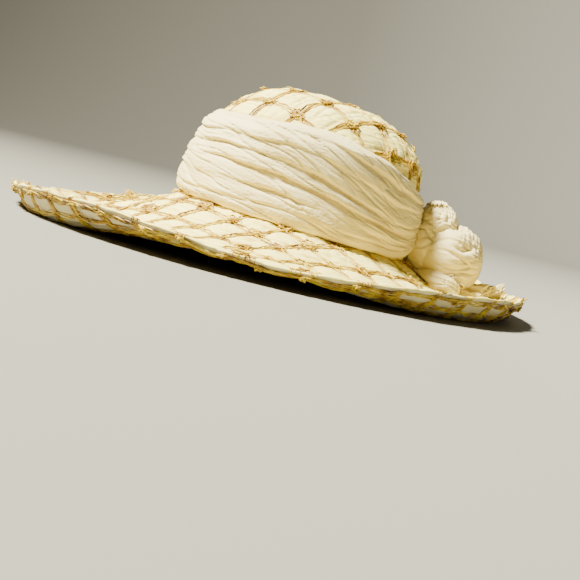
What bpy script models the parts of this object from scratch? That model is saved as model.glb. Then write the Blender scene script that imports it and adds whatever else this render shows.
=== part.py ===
"""A wide-brim hat of crinkled cream cloth under a raffia trellis, with a draped scarf tied at the front.

Metres, +Z up. The hat stands on its brim at z = 0, and +X is the front, where the scarf is tied.
Angles run round the hat from the front: 90 is the far side, 180 the back and 270 the near side.
"""

import math

import bmesh
import bpy
import numpy as np

# Brim: an oval ring whose underside dips at four corners, where the hat stands, and turns up at the rim.
# Its rows, and the crown's flat seat, are shares of the way from the crown out to the rim.
BRIM_LENGTH = 0.470
BRIM_WIDTH = 0.440
BRIM_WALL = 0.003
BRIM_SEAT = 0.038
BRIM_ROWS = (0.0, BRIM_SEAT, 0.20, 0.40, 0.58, 0.72, 0.82, 0.91, 1.0)
BRIM_FALL_POWER = 1.6
BRIM_TURN_UP_POWER = 1.8

# Crown: an oval wall that leans in to a shoulder, under a dome that is highest towards the back.
CROWN_FORWARD = 0.0205
CROWN_FOOT = (0.1040, 0.0880)
CROWN_SHOULDER = (0.0975, 0.0825)
CROWN_HEIGHT = 0.1540
CROWN_SHOULDER_HEIGHT = 0.1125
CROWN_DOME_POWER = 3.4
CROWN_DOME_POWER_CHANGE = 0.6
CROWN_BACKWARD_SWELL = 0.009
CROWN_WALL = 0.003
CROWN_DENT = 0.0035
CROWN_DENT_ANGLE = 305.0

# Scarf: a soft band round the crown, gathered into long folds that draw together at the front.
SCARF_CLEARANCE = 0.0009
SCARF_EDGE = 0.0012

# Pieces that lie on each other keep this gap, and a soft piece on a faceted one a little more.
GAP = 0.0004
SOFT_GAP = 0.0008

# Facets of each piece.
BRIM_AROUND = 80
CROWN_AROUND = 60
SCARF_AROUND = 72
PUFF_SEGMENTS = 24
PUFF_RINGS = 11

# Each row is one angle round the brim, 30 degrees apart: heights of the underside, and the dip's place outwards.
BRIM_COLUMNS = ("angle", "crown_seat", "dip", "rim", "dip_place", "rim_reach")
BRIM_SECTIONS = (
    (0, 0.0250, 0.0010, 0.0170, 0.80, 1.000),
    (30, 0.0260, -0.0010, 0.0180, 0.79, 1.004),
    (60, 0.0300, 0.0010, 0.0190, 0.76, 0.998),
    (90, 0.0335, 0.0110, 0.0200, 0.80, 1.000),
    (120, 0.0365, 0.0050, 0.0220, 0.78, 1.002),
    (150, 0.0390, -0.0022, 0.0095, 0.80, 0.998),
    (180, 0.0395, 0.0020, 0.0120, 0.84, 1.000),
    (210, 0.0390, -0.0022, 0.0200, 0.83, 1.002),
    (240, 0.0365, 0.0095, 0.0230, 0.77, 0.998),
    (270, 0.0335, 0.0125, 0.0135, 0.82, 1.000),
    (300, 0.0300, 0.0030, 0.0190, 0.76, 1.002),
    (330, 0.0262, -0.0010, 0.0205, 0.79, 1.000),
)

# Each row is one angle round the scarf, 30 degrees apart: its lower edge over the brim, upper edge and bulge.
SCARF_COLUMNS = ("angle", "lower_lift", "upper", "bulge")
SCARF_SECTIONS = (
    (0, 0.0200, 0.0880, 0.0070),
    (30, 0.0030, 0.0985, 0.0080),
    (60, 0.0010, 0.1150, 0.0080),
    (90, 0.0010, 0.1250, 0.0078),
    (120, 0.0010, 0.1230, 0.0085),
    (150, 0.0010, 0.1225, 0.0110),
    (180, 0.0010, 0.1240, 0.0130),
    (210, 0.0010, 0.1225, 0.0110),
    (240, 0.0010, 0.1235, 0.0085),
    (270, 0.0010, 0.1255, 0.0078),
    (300, 0.0010, 0.1155, 0.0080),
    (330, 0.0030, 0.0985, 0.0080),
)

# Each row is one valley between folds: its share of the scarf's height at the back, between back and side, at the
# side, between side and front and at the front, and its depth.
FOLD_VALLEYS = (
    (0.16, 0.13, 0.12, 0.10, 0.12, 0.0020),
    (0.33, 0.29, 0.25, 0.22, 0.24, 0.0042),
    (0.50, 0.48, 0.40, 0.32, 0.36, 0.0024),
    (0.65, 0.66, 0.55, 0.43, 0.50, 0.0045),
    (0.79, 0.80, 0.71, 0.61, 0.66, 0.0028),
    (0.92, 0.93, 0.87, 0.83, 0.84, 0.0026),
)

# Each row is one gathered puff of the tied scarf: x, y and z of its centre, its half sizes along them, the number
# and the depth of its pleats, and how many degrees its outer end is raised.
PUFFS = (
    (0.1450, 0.004, 0.0665, 0.0205, 0.0310, 0.0225, 7, 0.0026, 8),
    (0.1640, -0.006, 0.0415, 0.0290, 0.0350, 0.0330, 7, 0.0032, 15),
    (0.1530, -0.030, 0.0165, 0.0230, 0.0250, 0.0140, 7, 0.0020, -8),
    (0.1390, -0.003, 0.0480, 0.0190, 0.0300, 0.0280, 7, 0.0020, 8),
)

# Tail: the scarf's free end, a ruffled strip that lies on the brim towards the rim.
TAIL_START = (0.173, -0.026)
TAIL_END = (0.208, 0.041)
TAIL_WIDTH = 0.046
TAIL_WALL = 0.0022
TAIL_RUFFLE = 0.0160
TAIL_RUFFLES = 4.5
TAIL_ALONG = 26
TAIL_ACROSS = 6

CREAM_CLOTH = (0.90, 0.83, 0.66, 1.0)
RAFFIA_CREAM = (0.88, 0.76, 0.50, 1.0)
SCARF_IVORY = (0.88, 0.81, 0.69, 1.0)


def around(columns, rows, name, angle):
    """A column's value at any angle in degrees: a smooth closed curve through the table's evenly spaced rows."""
    values = np.array([row[columns.index(name)] for row in rows])
    place = np.asarray(angle, float) % 360.0 / (360.0 / len(rows))
    row = np.floor(place).astype(int)
    part = place - row
    before, here, after, beyond = (values[(row + k) % len(rows)] for k in (-1, 0, 1, 2))
    slope_here = (after - before) / 2
    slope_after = (beyond - here) / 2
    return (
        here * (1 + 2 * part) * (1 - part) ** 2
        + slope_here * part * (1 - part) ** 2
        + after * part**2 * (3 - 2 * part)
        - slope_after * part**2 * (1 - part)
    )


def brim_value(name, angle):
    return around(BRIM_COLUMNS, BRIM_SECTIONS, name, angle)


def brim_plan(angle, outwards):
    """Plan position on the brim: from the crown's inside at outwards 0 to the rim at outwards 1."""
    a = np.radians(angle)
    inner_x = CROWN_FORWARD + (CROWN_FOOT[0] - CROWN_WALL) * np.cos(a)
    inner_y = (CROWN_FOOT[1] - CROWN_WALL) * np.sin(a)
    reach = brim_value("rim_reach", angle)
    outer_x = BRIM_LENGTH / 2 * reach * np.cos(a)
    outer_y = BRIM_WIDTH / 2 * reach * np.sin(a)
    return inner_x + (outer_x - inner_x) * outwards, inner_y + (outer_y - inner_y) * outwards


def brim_underside(angle, outwards):
    """Height of the brim's underside: flat at the crown's seat, falling to the dip, then turned up to the rim."""
    seat, dip, rim = (brim_value(name, angle) for name in ("crown_seat", "dip", "rim"))
    place = brim_value("dip_place", angle)
    falling = np.clip((outwards - BRIM_SEAT) / (place - BRIM_SEAT), 0, 1)
    rising = np.clip((outwards - place) / (1 - place), 0, 1)
    height = dip + (seat - dip) * (1 - falling) ** BRIM_FALL_POWER
    height = height + (rim - dip) * rising**BRIM_TURN_UP_POWER
    return np.maximum(height, 0.0)


def brim_place(x, y):
    """The angle and the share outwards of the brim under a plan position, by halving."""
    low, high = 0.0, 1.0
    for _ in range(24):
        outwards = (low + high) / 2
        half_x = (1 - outwards) * (CROWN_FOOT[0] - CROWN_WALL) + outwards * BRIM_LENGTH / 2
        half_y = (1 - outwards) * (CROWN_FOOT[1] - CROWN_WALL) + outwards * BRIM_WIDTH / 2
        along = (x - CROWN_FORWARD * (1 - outwards)) / half_x
        across = y / half_y
        if along**2 + across**2 > 1:
            low = outwards
        else:
            high = outwards
    return math.degrees(math.atan2(across, along)), outwards


def brim_top(x, y):
    """Height of the brim's upper face under a plan position, straight between its rows as it is built."""
    angle, outwards = brim_place(x, y)
    heights = [float(brim_underside(angle, row)) for row in BRIM_ROWS]
    return float(np.interp(outwards, BRIM_ROWS, heights)) + BRIM_WALL


def crown_foot_height(angle):
    return brim_value("crown_seat", angle) + BRIM_WALL + GAP


def dome_height(angle, away, inset=0.0):
    """Height of the dome at a share away from its middle: flat on top, swollen at the back, squarer at the front."""
    swell = CROWN_BACKWARD_SWELL * away * (1 - away**2) * math.cos(math.radians(angle))
    power = CROWN_DOME_POWER + CROWN_DOME_POWER_CHANGE * math.cos(math.radians(angle))
    shoulder = CROWN_SHOULDER_HEIGHT - inset / 2
    rise = CROWN_HEIGHT - CROWN_SHOULDER_HEIGHT - inset / 2
    return shoulder + rise * (1 - away**power) - swell


def crown_point(angle, up, inset):
    """A point of the crown's wall (up 0 to 1) or dome (up 1 at the shoulder to 2 at the top), inset from its outside."""
    a = math.radians(angle)
    if up <= 1:
        half_x = CROWN_FOOT[0] + (CROWN_SHOULDER[0] - CROWN_FOOT[0]) * up
        half_y = CROWN_FOOT[1] + (CROWN_SHOULDER[1] - CROWN_FOOT[1]) * up
        foot = crown_foot_height(angle)
        height = foot + (CROWN_SHOULDER_HEIGHT - inset / 2 - foot) * up
        away = 1.0
    else:
        half_x, half_y = CROWN_SHOULDER
        away = 2 - up
        height = dome_height(angle, away, inset)
    dent = CROWN_DENT * math.exp(-(((up - 1.05) / 0.25) ** 2))
    dent *= math.exp(-((((angle - CROWN_DENT_ANGLE + 180) % 360 - 180) / 16.0) ** 2))
    x = CROWN_FORWARD + (half_x - inset - dent) * away * math.cos(a)
    y = (half_y - inset - dent) * away * math.sin(a)
    return x, y, height


def crown_outline(angle, height):
    """Half sizes of the crown's outside at a height, on the wall or past the shoulder, by halving."""
    foot = crown_foot_height(angle)
    up = min(max((height - foot) / (CROWN_SHOULDER_HEIGHT - foot), 0.0), 1.0)
    low, high = 0.2, 1.0
    while height > CROWN_SHOULDER_HEIGHT and high - low > 1e-6:
        middle = (low + high) / 2
        if dome_height(angle, middle) > height:
            low = middle
        else:
            high = middle
    return tuple((CROWN_FOOT[k] + (CROWN_SHOULDER[k] - CROWN_FOOT[k]) * up) * high for k in (0, 1))


def fold_line(valley, angle):
    """Height share of a valley at an angle: through its back, side and front places, the same on both sides."""
    from_back = abs((angle % 360.0) - 180)
    return float(np.interp(from_back, (0, 45, 90, 135, 180), valley[:5]))


def scarf_rows(angle):
    """Rows of the scarf's face, which follow the folds: each one's height share and how far it is drawn in."""
    rows = [(0.0, 0.0), (0.03, 0.0)]
    lines = [(fold_line(valley, angle), valley[5]) for valley in FOLD_VALLEYS] + [(1.0, 0.0)]
    for (low, depth), (high, next_depth) in zip(lines, lines[1:]):
        for part in (0, 1 / 3, 2 / 3):
            drawn = depth + (next_depth - depth) * part
            rows.append((low + (high - low) * part, drawn * (1 + math.cos(2 * math.pi * part)) / 2))
    return rows + [(1.0, 0.0)]


def scarf_edges(angle):
    """Heights of the scarf's lower and upper edge."""
    lift = around(SCARF_COLUMNS, SCARF_SECTIONS, "lower_lift", angle)
    upper = around(SCARF_COLUMNS, SCARF_SECTIONS, "upper", angle)
    return crown_foot_height(angle) + lift, upper


def scarf_inner_shares(angle):
    """Height shares of the scarf's inner face, downwards, with one at the crown's shoulder."""
    lower, upper = scarf_edges(angle)
    shoulder = min((CROWN_SHOULDER_HEIGHT - lower) / (upper - lower), 0.9)
    return 1.0, (1 + shoulder) / 2, shoulder, shoulder / 2, 0.0


def scarf_point(angle, share, thickness):
    """A point of the scarf at a share of its height, its inner face at thickness 0."""
    lower, upper = scarf_edges(angle)
    height = lower + (upper - lower) * share
    half_x, half_y = crown_outline(angle, height)
    out = SCARF_CLEARANCE + thickness
    a = math.radians(angle)
    return CROWN_FORWARD + (half_x + out) * math.cos(a), (half_y + out) * math.sin(a), height


def wrapped(name, around_count, section_count, place, closed_section):
    """A grid wrapped round the hat: place(angle, step) gives each vertex, and meeting edges are welded."""
    mesh = bpy.data.meshes.new(name)
    shape = bmesh.new()
    bmesh.ops.create_grid(shape, x_segments=around_count, y_segments=section_count, size=1.0)
    for vertex in shape.verts:
        turn = round((vertex.co.x + 1) / 2 * around_count) % around_count
        step = round((vertex.co.y + 1) / 2 * section_count)
        if closed_section:
            step %= section_count
        vertex.co = place(360.0 * turn / around_count, step)
    bmesh.ops.remove_doubles(shape, verts=shape.verts, dist=1e-5)
    bmesh.ops.recalc_face_normals(shape, faces=shape.faces)
    shape.to_mesh(mesh)
    shape.free()
    return mesh


def make_object(name, mesh, material, parent):
    mesh.materials.append(material)
    mesh.shade_smooth()
    mesh.set_sharp_from_angle(angle=math.radians(40))
    piece = bpy.data.objects.new(name, mesh)
    piece.parent = parent
    bpy.data.collections["wide_brim_hat"].objects.link(piece)
    return piece


def make_material(name, colour, roughness):
    material = bpy.data.materials.new(name)
    material.use_nodes = True
    shader = material.node_tree.nodes["Principled BSDF"]
    shader.inputs["Base Color"].default_value = colour
    shader.inputs["Roughness"].default_value = roughness
    shader.inputs["Metallic"].default_value = 0.0
    return material


def make_brim(material, parent):
    """The brim's section runs out along the underside and back along the top."""
    section = [(row, 0.0) for row in BRIM_ROWS] + [(row, BRIM_WALL) for row in reversed(BRIM_ROWS)]

    def place(angle, step):
        outwards, above = section[step]
        x, y = brim_plan(angle, outwards)
        return float(x), float(y), float(brim_underside(angle, outwards) + above)

    mesh = wrapped("brim", BRIM_AROUND, len(section), place, True)
    return make_object("brim", mesh, material, parent)


def make_crown(material, parent):
    """The crown's section runs from the top down the outside, across the foot and up the inside to the top."""
    dome = [2.0, 1.80, 1.58, 1.38, 1.22, 1.12, 1.05]
    wall = [1.0, 0.66, 0.33, 0.0]
    stations = dome + wall

    def place(angle, step):
        if step < len(stations):
            point = crown_point(angle, stations[step], 0.0)
        else:
            point = crown_point(angle, stations[2 * len(stations) - 1 - step], CROWN_WALL)
        return tuple(float(value) for value in point)

    mesh = wrapped("crown", CROWN_AROUND, 2 * len(stations) - 1, place, False)
    return make_object("crown", mesh, material, parent)


def make_scarf_band(material, parent):
    """The scarf's section runs up its folded outer face and back down against the crown."""
    row_count = len(scarf_rows(0.0))

    def place(angle, step):
        if step >= row_count:
            return scarf_point(angle, scarf_inner_shares(angle)[step - row_count], 0.0)
        share, drawn = scarf_rows(angle)[step]
        bulge = around(SCARF_COLUMNS, SCARF_SECTIONS, "bulge", angle) * (1 - (2 * share - 1) ** 6) ** 0.5
        return scarf_point(angle, share, max(bulge - drawn, 0.0) + SCARF_EDGE)

    mesh = wrapped("scarf_band", SCARF_AROUND, row_count + len(scarf_inner_shares(0.0)), place, True)
    return make_object("scarf_band", mesh, material, parent)


def clear_of_hat(point):
    """Moves a point of a soft piece off the scarf band and up off the brim."""
    x, y, z = point
    half_x, half_y = crown_outline(0.0, z)
    angle = math.degrees(math.atan2(y * half_x, (x - CROWN_FORWARD) * half_y))
    bulge = around(SCARF_COLUMNS, SCARF_SECTIONS, "bulge", angle)
    room = SCARF_CLEARANCE + bulge + SCARF_EDGE + SOFT_GAP
    reach = math.hypot((x - CROWN_FORWARD) / (half_x + room), y / (half_y + room))
    if 0 < reach < 1:
        x = CROWN_FORWARD + (x - CROWN_FORWARD) / reach
        y = y / reach
    return x, y, max(z, brim_top(x, y) + SOFT_GAP)


def make_puff(puff):
    """A gathered puff: a stretched sphere, fuller at its outer end, pleated round its leaning axis."""
    x, y, z, half_x, half_y, half_z, pleats, pleat_depth, lean = puff
    shape = bmesh.new()
    bmesh.ops.create_uvsphere(shape, u_segments=PUFF_SEGMENTS, v_segments=PUFF_RINGS, radius=1.0)
    tilt = math.radians(lean)
    for vertex in shape.verts:
        turn = math.atan2(vertex.co.y, vertex.co.x)
        pleat = 1 + pleat_depth / half_y * math.cos(pleats * turn) * (1 - vertex.co.z**4)
        pleat *= 0.86 + 0.20 * vertex.co.z
        side, rise, along = vertex.co.x * pleat, vertex.co.y * pleat, vertex.co.z
        out = along * half_x * math.cos(tilt) - rise * half_z * math.sin(tilt)
        up = along * half_x * math.sin(tilt) + rise * half_z * math.cos(tilt)
        vertex.co = clear_of_hat((x + out, y + side * half_y, z + up))
    mesh = bpy.data.meshes.new("scarf_bow")
    shape.to_mesh(mesh)
    shape.free()
    return mesh


def make_tail():
    """The scarf's free end: a strip that follows the brim below it, its free long edge ruffled."""
    start, end = np.array(TAIL_START), np.array(TAIL_END)
    along_way = (end - start) / np.linalg.norm(end - start)
    out_way = np.array([along_way[1], -along_way[0]])
    ring = 2 * (TAIL_ACROSS + 1)
    shape = bmesh.new()
    bmesh.ops.create_grid(shape, x_segments=TAIL_ALONG, y_segments=ring, size=1.0)
    for vertex in shape.verts:
        along = (vertex.co.x + 1) / 2
        step = round((vertex.co.y + 1) / 2 * ring) % ring
        top = step > TAIL_ACROSS
        across = (ring - 1 - step if top else step) / TAIL_ACROSS
        plan = start + (end - start) * along + out_way * TAIL_WIDTH * (across - 0.5)
        ruffle = TAIL_RUFFLE * across**1.5 * (1 + math.sin(2 * math.pi * TAIL_RUFFLES * along)) / 2
        height = brim_top(*plan) + SOFT_GAP + ruffle + (TAIL_WALL if top else 0.0)
        vertex.co = (plan[0], plan[1], height)
    bmesh.ops.remove_doubles(shape, verts=shape.verts, dist=1e-5)
    open_edges = [edge for edge in shape.edges if edge.is_boundary]
    bmesh.ops.holes_fill(shape, edges=open_edges)
    bmesh.ops.triangulate(shape, faces=[face for face in shape.faces if len(face.verts) > 4])
    bmesh.ops.recalc_face_normals(shape, faces=shape.faces)
    mesh = bpy.data.meshes.new("scarf_tail")
    shape.to_mesh(mesh)
    shape.free()
    return mesh


def make_scarf_bow(material, parent):
    """The tied scarf: gathered puffs and the free end joined into one body."""
    bow = make_object("scarf_bow", make_puff(PUFFS[0]), material, parent)
    for number, mesh in enumerate([make_puff(puff) for puff in PUFFS[1:]] + [make_tail()]):
        tool = bpy.data.objects.new(f"shape_to_join_{number}", mesh)
        tool.display_type = "WIRE"
        tool.hide_render = True
        bpy.data.collections["joining_shapes"].objects.link(tool)
        union = bow.modifiers.new(f"join_{number}", "BOOLEAN")
        union.operation = "UNION"
        union.object = tool
    return bow


def make_collection(name):
    collection = bpy.data.collections.new(name)
    bpy.context.scene.collection.children.link(collection)
    return collection


def main():
    for old in list(bpy.data.objects):
        bpy.data.objects.remove(old)
    make_collection("wide_brim_hat")
    make_collection("joining_shapes")
    hat = bpy.data.objects.new("hat", None)
    bpy.data.collections["wide_brim_hat"].objects.link(hat)
    straw = make_material("raffia_and_cream_cloth", RAFFIA_CREAM, 0.75)
    cloth = make_material("cream_cloth", CREAM_CLOTH, 0.80)
    scarf = make_material("ivory_scarf", SCARF_IVORY, 0.65)
    make_brim(straw, hat)
    make_crown(cloth, hat)
    make_scarf_band(scarf, hat)
    make_scarf_bow(scarf, hat)


main()
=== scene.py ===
import math

import bmesh
import bpy
import numpy as np
from mathutils import Matrix, Vector


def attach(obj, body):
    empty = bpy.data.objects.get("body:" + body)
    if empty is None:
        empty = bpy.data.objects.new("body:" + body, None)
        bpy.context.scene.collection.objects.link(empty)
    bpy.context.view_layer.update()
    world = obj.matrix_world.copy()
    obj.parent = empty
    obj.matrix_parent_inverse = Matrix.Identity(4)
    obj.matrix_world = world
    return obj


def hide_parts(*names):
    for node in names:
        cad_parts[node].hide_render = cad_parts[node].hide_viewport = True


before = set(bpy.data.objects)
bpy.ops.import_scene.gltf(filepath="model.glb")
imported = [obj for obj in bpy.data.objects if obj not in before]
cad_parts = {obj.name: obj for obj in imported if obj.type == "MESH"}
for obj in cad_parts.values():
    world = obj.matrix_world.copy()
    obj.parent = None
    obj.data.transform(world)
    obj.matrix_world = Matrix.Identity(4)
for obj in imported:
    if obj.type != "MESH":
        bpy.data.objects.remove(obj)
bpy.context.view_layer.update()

# The hat's frame: metres, +X the front where the scarf is tied, -Y the near side, z = 0 the table.
# Angles run round the hat from the front: 90 is the far side, 180 the back and 270 the near side.
# The tables of the brim, the crown and the scarf band repeat those of their solids.

# Brim.
BRIM_LENGTH = 0.470
BRIM_WIDTH = 0.440
BRIM_WALL = 0.003
BRIM_SEAT = 0.038
BRIM_FALL_POWER = 1.6
BRIM_TURN_UP_POWER = 1.8
BRIM_COLUMNS = ("angle", "crown_seat", "dip", "rim", "dip_place", "rim_reach")
BRIM_SECTIONS = (
    (0, 0.0250, 0.0010, 0.0170, 0.80, 1.000),
    (30, 0.0260, -0.0010, 0.0180, 0.79, 1.004),
    (60, 0.0300, 0.0010, 0.0190, 0.76, 0.998),
    (90, 0.0335, 0.0110, 0.0200, 0.80, 1.000),
    (120, 0.0365, 0.0050, 0.0220, 0.78, 1.002),
    (150, 0.0390, -0.0022, 0.0095, 0.80, 0.998),
    (180, 0.0395, 0.0020, 0.0120, 0.84, 1.000),
    (210, 0.0390, -0.0022, 0.0200, 0.83, 1.002),
    (240, 0.0365, 0.0095, 0.0230, 0.77, 0.998),
    (270, 0.0335, 0.0125, 0.0135, 0.82, 1.000),
    (300, 0.0300, 0.0030, 0.0190, 0.76, 1.002),
    (330, 0.0262, -0.0010, 0.0205, 0.79, 1.000),
)
RIM_STARTS = 0.86
BRIM_HALVINGS = 26
CROWN_HALVINGS = 20

# Crown.
CROWN_FORWARD = 0.0205
CROWN_FOOT = (0.1040, 0.0880)
CROWN_SHOULDER = (0.0975, 0.0825)
CROWN_HEIGHT = 0.1540
CROWN_SHOULDER_HEIGHT = 0.1125
CROWN_DOME_POWER = 3.4
CROWN_DOME_POWER_CHANGE = 0.6
CROWN_BACKWARD_SWELL = 0.009
CROWN_WALL = 0.003
CROWN_DENT = 0.0035
CROWN_DENT_ANGLE = 305.0
CROWN_INSIDE = (CROWN_FOOT[0] - CROWN_WALL, CROWN_FOOT[1] - CROWN_WALL)
GAP = 0.0004

# The way over the crown's cloth, from the dome's mean profile and a wall of this height.
DOME_AWAY = np.linspace(0, 1, 60)
DOME_RADIUS = 0.090 * DOME_AWAY
DOME_DROP = (CROWN_HEIGHT - CROWN_SHOULDER_HEIGHT) * DOME_AWAY**CROWN_DOME_POWER
DOME_WAY = np.concatenate([[0.0], np.cumsum(np.hypot(np.diff(DOME_RADIUS), np.diff(DOME_DROP)))])
CROWN_WALL_WAY = 0.075

# Cloth: how far its seams lie under the walls' faces, how far it puffs out of a cell, the share of that
# on the brim's underside, and its lowest place.
CLOTH_SINK = 0.0006
CELL_PUFF = 0.0032
PUFF_BELOW = 0.75
CLOTH_LOWEST = 0.0004
NOISE_SIDE = 64

# Creases of the brim and of the puffs. Each row: depth, times round, times along, seed and width.
BRIM_CREASES = ((0.0029, 22, 15, 0, 0.18), (0.0015, 48, 30, 6, 0.26))
PUFF_CREASES = (
    (0.0023, 15, 0.8, 1, 0.22),
    (0.0015, 34, 1.0, 2, 0.35),
    (0.0005, 62, 3.0, 3, 0.50),
    (0.0020, 6, 8.5, 6, 0.32),
)

# Scarf band. Each crease row: depth, times round, times over a fold, slant, seed and width.
SCARF_CLEARANCE = 0.0009
SCARF_EDGE = 0.0018
SCARF_FLAT = (0.64, 0.10)
SCARF_COLUMNS = ("angle", "lower_lift", "upper", "bulge")
SCARF_SECTIONS = (
    (0, 0.0200, 0.0880, 0.0070),
    (30, 0.0030, 0.0985, 0.0080),
    (60, 0.0010, 0.1150, 0.0080),
    (90, 0.0010, 0.1250, 0.0078),
    (120, 0.0010, 0.1230, 0.0085),
    (150, 0.0010, 0.1225, 0.0110),
    (180, 0.0010, 0.1240, 0.0130),
    (210, 0.0010, 0.1225, 0.0110),
    (240, 0.0010, 0.1235, 0.0085),
    (270, 0.0010, 0.1255, 0.0078),
    (300, 0.0010, 0.1155, 0.0080),
    (330, 0.0030, 0.0985, 0.0080),
)
# Each row is one valley: its share of the height at these angles from the back, and its depth.
FOLD_PLACES = (0, 45, 90, 135, 180)
FOLD_VALLEYS = (
    (0.16, 0.13, 0.12, 0.10, 0.12, 0.0020),
    (0.33, 0.29, 0.25, 0.22, 0.24, 0.0042),
    (0.50, 0.48, 0.40, 0.32, 0.36, 0.0024),
    (0.65, 0.66, 0.55, 0.43, 0.50, 0.0045),
    (0.79, 0.80, 0.71, 0.61, 0.66, 0.0028),
    (0.92, 0.93, 0.87, 0.83, 0.84, 0.0026),
)
SCARF_CREASES = (
    (0.0018, 7, 1.5, 0.5, 5, 0.20),
    (0.0007, 16, 3.6, 1.0, 7, 0.22),
    (0.0003, 34, 8.0, 0.7, 9, 0.35),
)

# Scarf bow. Each puff: its centre, half sizes, number and depth of its pleats, and lean in degrees.
PUFFS = (
    (0.1450, 0.004, 0.0665, 0.0205, 0.0310, 0.0225, 7, 0.0026, 8),
    (0.1605, -0.008, 0.0405, 0.0330, 0.0350, 0.0335, 7, 0.0032, 4),
    (0.1530, -0.030, 0.0165, 0.0230, 0.0250, 0.0140, 7, 0.0020, -8),
    (0.1375, -0.003, 0.0430, 0.0210, 0.0300, 0.0330, 7, 0.0020, 8),
)
# Each frill: its name, its puff, its stretch along the puff and round it, its lift, its waves and its seed.
FRILLS = (
    ("scarf_frill_top", 0, (-0.45, 0.45), (1.2, 2.1), 0.0024, 6, 51),
    ("scarf_frill_low", 2, (0.2, 0.95), (0.9, 2.2), 0.0036, 5, 71),
)
FRILL_THICKNESS = 0.0006
TAIL_START = (0.173, -0.026)
TAIL_END = (0.208, 0.041)
TAIL_WIDTH = 0.046
TAIL_THICKNESS = 0.0007
TAIL_RUFFLE = 0.0205
TAIL_RUFFLES = 11.5

# Raffia trellis: a square trellis set diagonally, with a knot at each crossing. On the crown it is drawn over
# the dome's middle, a little narrower across.
TRELLIS_PITCH = 0.033
TRELLIS_CORNER = (-0.016, -0.118)
TRELLIS_WARP = 0.0028
TRELLIS_REACH = 0.48
CROWN_TRELLIS_REACH = 0.30
CROWN_TRELLIS_FORWARD = 0.010
CROWN_TRELLIS_WIDTH = 0.96
# Widths of the painted raffia shade beside the bars and round the knots.
BAR_SHADE_WIDTH = 0.0034
KNOT_SHADE_WIDTH = 0.0070
STRAND_RADIUS = 0.00054
STRAND_SIDES = 4
STRAND_STEP = 0.0028
STRAND_WANDER = 0.0017
SHORTEST_STRAND = 5
CROSSING_LIFT = 0.0005
RAFFIA_LOWEST = 0.0002
BUNDLES = ((-1.1, -0.4, 0.3, 1.0), (-0.9, 0.0, 0.8))
BUNDLES_BELOW = ((-1.5, -0.8, -0.1, 0.6, 1.3), (-1.0, -0.3, 0.4, 1.1))
BUNDLE_SPREAD = 0.0022
# Each face of the brim: its piece, where its strands begin, its bundles, their wander and their radius.
BRIM_RAFFIA = {
    1.0: ("raffia_over_brim", 0.012, BUNDLES, STRAND_WANDER, STRAND_RADIUS),
    -1.0: ("raffia_under_brim", 0.50, BUNDLES_BELOW, 0.0009, 0.00072),
}
RIM_CORD_PLACES = (0.990, 0.925)
RIM_CORD_STRANDS = 4
RIM_KNOTS = 44
RIM_KNOT = 0.6
KNOT_SIZE = 0.0056
BIG_KNOT = 1.5
KNOT_SIDES = 3
KNOT_STRAND_RADIUS = 1.1 * STRAND_RADIUS
KNOT_ENDS = 3
KNOT_END_RADIUS = 0.00040
# UV metres for each side of a strand, and for each step of a loop.
SIDE_UV = 0.001
LOOP_UV = 0.0015

# Camera: its target falls on this pixel of a picture with this side.
CAMERA_DISTANCE = 1.0
CAMERA_ELEVATION = 4.0
CAMERA_ROLL = 13.6
CAMERA_FOCAL_PIXELS = 1083.0
CAMERA_TARGET = (0.0, 0.0, 0.018)
CAMERA_TARGET_PIXEL = (270.5, 240.5)
PICTURE_SIDE = 580

# Each light: its name, its place, the place that it faces, its size, its power and its colour.
LIGHTS = (
    ("key", (-1.25, -0.36, 2.00), (0.0, 0.0, 0.06), (0.4, 0.4), 400, (1.0, 0.97, 0.84)),
    ("fill", (1.8, -2.0, 0.9), (0.05, 0.0, 0.06), (1.4, 1.4), 1.2, (1.0, 0.92, 0.78)),
    ("back", (0.8, 1.6, 1.9), (0.0, 0.0, 0.08), (1.2, 0.8), 5, (1.0, 0.97, 0.88)),
)
WORLD_COLOUR = (1.0, 0.97, 0.92, 1.0)
WORLD_STRENGTH = 0.05
BACKDROP_NEAR = -3.0
BACKDROP_FAR = 2.2
BACKDROP_BEND = 1.2
BACKDROP_TOP = 4.0
BACKDROP_HALF_WIDTH = 6.0

# Colours. Each tone: its place on the ramp and its colour.
CREAM_TONES = ((0.30, (0.88, 0.72, 0.15)), (0.52, (0.95, 0.83, 0.21)), (0.75, (0.98, 0.90, 0.30)))
# Painted highlight: the cream is lightened on the ridges of its tucks.
CREAM_PAINTED_RIDGE_HIGHLIGHT = (0.98, 0.91, 0.34)
# Painted shade: the cream is darkened in the valleys of its tucks.
CREAM_PAINTED_VALLEY_SHADE = (0.66, 0.43, 0.05)
# Painted shade: the brim's whole underside is darkened.
CREAM_PAINTED_UNDERSIDE_SHADE = (0.66, 0.58, 0.38)
# Painted shadow and golden reflection of the raffia on the cloth beside its bars and knots.
CREAM_PAINTED_RAFFIA_SHADE = (0.42, 0.24, 0.05)
# Mask of the painted shade in the tucks' valleys: 1 in the valleys, 0 on the ridges.
PAINTED_VALLEY_SHADE_MASK = ((0.38, (1.0, 1.0, 1.0)), (0.49, (0.0, 0.0, 0.0)))
RAFFIA_TONES = (
    (0.38, (0.10, 0.045, 0.003)),
    (0.46, (0.48, 0.26, 0.016)),
    (0.55, (0.78, 0.57, 0.03)),
    (0.66, (0.94, 0.79, 0.14)),
)
SILK_TONES = ((0.32, (0.70, 0.56, 0.22)), (0.55, (0.80, 0.66, 0.29)), (0.75, (0.86, 0.74, 0.37)))
# Painted highlight: the silk is lightened on the ridges of its folds.
SILK_PAINTED_RIDGE_HIGHLIGHT = (0.88, 0.78, 0.42)
# Painted shade: the backdrop darkens from right to left.
BACKDROP_PAINTED_SHADE_TONES = ((0.0, (0.10, 0.095, 0.075)), (0.55, (0.25, 0.24, 0.20)), (1.0, (0.62, 0.60, 0.53)))


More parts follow.
